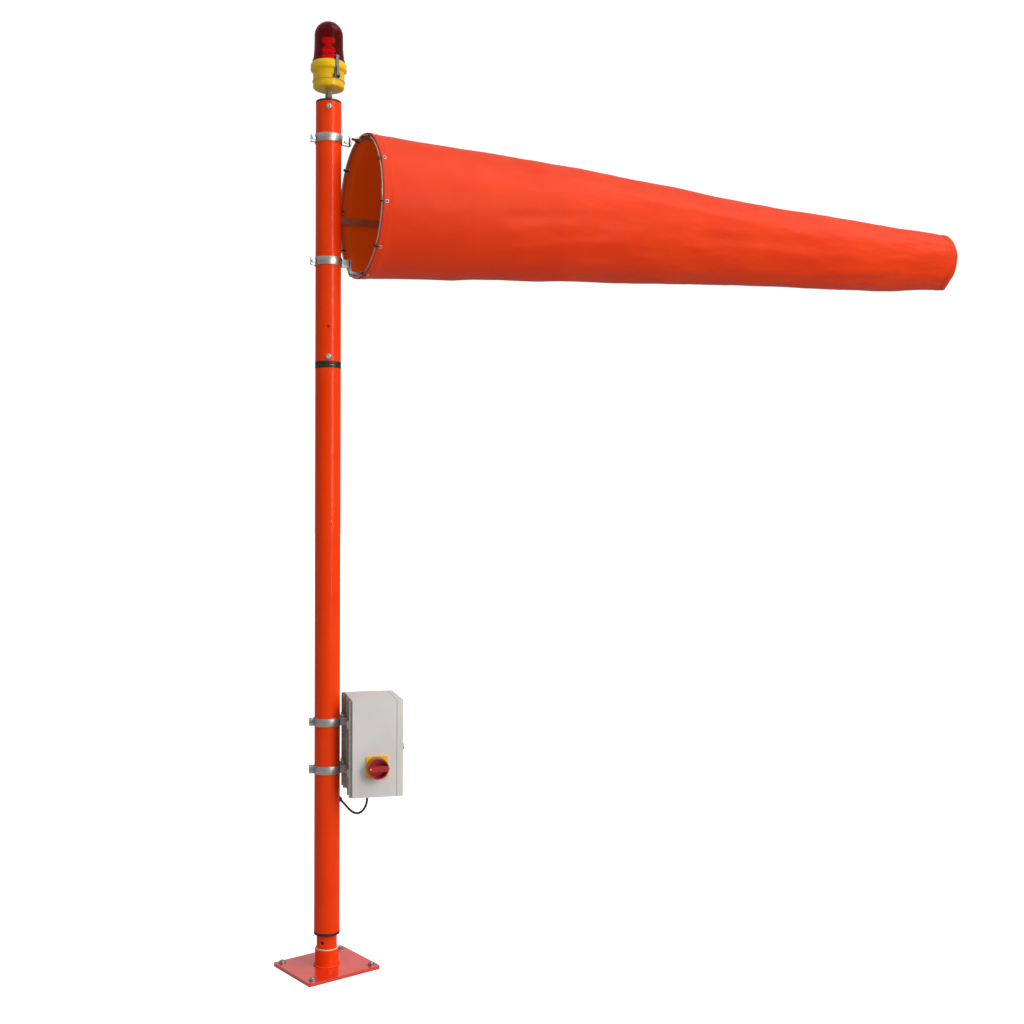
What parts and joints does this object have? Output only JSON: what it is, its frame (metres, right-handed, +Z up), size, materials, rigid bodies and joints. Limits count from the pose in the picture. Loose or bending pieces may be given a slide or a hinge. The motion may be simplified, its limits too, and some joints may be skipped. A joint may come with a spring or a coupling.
{
  "type": "windsock with pole",
  "caption": "Orange windsock in a hooped basket on a head that turns on a steel mast with a base plate, a red obstruction light on top and a grey switch box clamped below.",
  "frame": {"origin": "centre of the base plate's underside, on the mast's axis", "axes": "+Z up along the mast; X and Y along the base plate's edges; the sock points 14 degrees and the switch box's door faces 24 degrees from +X towards -Y at rest"},
  "size_m": [2.4848, 0.8684, 2.833],
  "materials": {
    "orange_paint": "glossy aviation orange powder coat",
    "sealant": "cream joint sealant",
    "zinc_steel": "zinc plated, bluish",
    "stainless": "bright stainless steel",
    "black_nylon": "black nylon",
    "black_rubber": "black rubber",
    "cable_sheath": "black cable sheath",
    "bearing_bronze": "oiled bronze",
    "yellow_plastic": "glossy signal yellow",
    "red_plastic": "glossy signal red",
    "red_lens": "transparent ruby red",
    "lamp_white": "off-white lamp cluster",
    "copper_wire": "thin coppery wire",
    "box_paint": "light grey fine-texture powder coat",
    "grey_plastic": "grey polyamide",
    "sock_fabric": "orange-red coated polyester"
  },
  "bodies": {
    "mast": {"base_plate": "orange_paint", "base_socket": "orange_paint", "socket_seal": "sealant", "anchor_washers": "zinc_steel", "anchor_nuts": "zinc_steel", "inner_mast": "orange_paint", "foot_ring": "black_nylon", "lower_tube": "orange_paint", "stator_ring": "black_nylon", "thrust_washer": "bearing_bronze", "mast_plug": "zinc_steel", "beacon_stem": "stainless", "beacon_base": "yellow_plastic", "beacon_gasket": "black_rubber", "beacon_lens": "red_lens", "beacon_lamp": "lamp_white", "beacon_tether": "copper_wire", "latch_feet": "stainless", "box_clamps_near": "stainless", "box_clamps_far": "stainless", "box_clamp_bolts": "zinc_steel", "box_rails": "stainless", "rail_bolts": "zinc_steel", "box_body": "box_paint", "gear_plate": "zinc_steel", "din_rail": "zinc_steel", "terminal_block": "grey_plastic", "power_unit": "black_nylon", "hinge_pins": "stainless", "switch_body": "black_nylon", "switch_plate": "yellow_plastic", "mast_grommet": "black_rubber", "cable": "cable_sheath", "box_gland": "black_nylon", "riser_cable": "cable_sheath"},
    "head": {"head_sleeve": "orange_paint", "rotor_ring": "black_nylon", "head_bush": "black_nylon", "head_cap": "black_nylon", "head_screws": "stainless", "sock_clamps_near": "stainless", "sock_clamps_far": "stainless", "sock_clamp_bolts": "zinc_steel", "bracket_upper": "stainless", "bracket_lower": "stainless", "mouth_hoop": "stainless", "rear_hoop": "stainless", "basket_struts": "stainless", "basket_bolts": "zinc_steel", "eyelets": "stainless", "ties": "black_nylon", "sock_collar": "sock_fabric"},
    "sock": {"sock_front": "sock_fabric", "sock_back": "sock_fabric"},
    "door": {"door": "box_paint", "door_gasket": "black_rubber"},
    "lock": {"door_lock": "stainless"},
    "knob": {"switch_knob": "red_plastic"},
    "latch_near": {"latch_near": "stainless"},
    "latch_far": {"latch_far": "stainless"}
  },
  "joints": [
    {"name": "head_swivel", "type": "hinge", "parent": "mast", "child": "head", "pos_m": [0, 0, 1.8045], "axis": [0, 0, 1], "continuous": true},
    {"name": "sock_droop", "type": "hinge", "parent": "head", "child": "sock", "pos_m": [0.40005, -0.09974, 2.0895], "axis": [0.2419, 0.9703, 0], "range_deg": [0, 70]},
    {"name": "door_swing", "type": "hinge", "parent": "mast", "child": "door", "pos_m": [0.22019, 0.01636, 0.667], "axis": [0, 0, 1], "range_deg": [0, 120]},
    {"name": "lock_turn", "type": "hinge", "parent": "door", "child": "lock", "pos_m": [0.15951, -0.15312, 0.667], "axis": [0.9135, -0.4067, 0], "range_deg": [0, 90]},
    {"name": "knob_turn", "type": "hinge", "parent": "mast", "child": "knob", "pos_m": [0.08103, -0.14992, 0.614], "axis": [-0.4067, -0.9135, 0], "range_deg": [0, 90]},
    {"name": "latch_near_swing", "type": "hinge", "parent": "mast", "child": "latch_near", "pos_m": [-0.00291, -0.05542, 2.66], "axis": [0.9986, -0.0523, 0], "range_deg": [0, 70]},
    {"name": "latch_far_swing", "type": "hinge", "parent": "mast", "child": "latch_far", "pos_m": [0.00291, 0.05542, 2.66], "axis": [-0.9986, 0.0523, 0], "range_deg": [0, 70]}
  ]
}
